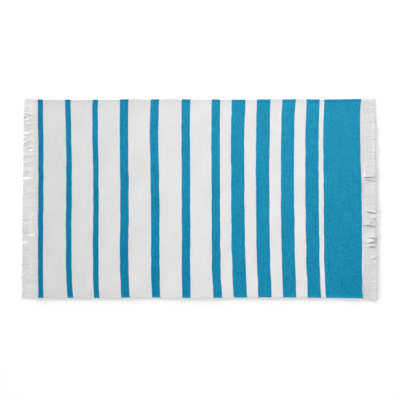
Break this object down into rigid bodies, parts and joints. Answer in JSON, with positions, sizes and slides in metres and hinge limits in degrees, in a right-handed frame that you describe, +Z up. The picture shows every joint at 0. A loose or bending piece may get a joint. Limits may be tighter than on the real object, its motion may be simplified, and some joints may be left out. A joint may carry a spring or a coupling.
{
  "type": "fringed hammam towel",
  "caption": "Flat-lying cotton hammam towel with graded blue weft stripes on white, turned hems along its long sides and a fringe of warp ends beyond a plain header at each short end.",
  "frame": {"origin": "on the floor, under the centre of the towel's outline", "axes": "+X along the towel's length, from the narrow stripes to the wide band; +Y across its width; +Z up, out of its face"},
  "size_m": [1.7976, 1.0132, 0.003],
  "materials": {
    "striped_cotton": "matt cotton with a low slubby pile, woven in turquoise-blue and white weft stripes",
    "white_cotton": "matt undyed cotton, flat-woven at the header and loose twisted yarn in the fringe"
  },
  "bodies": {
    "root": {"towel_cloth": "striped_cotton", "fringe_left": "white_cotton", "fringe_right": "white_cotton"}
  },
  "joints": []
}
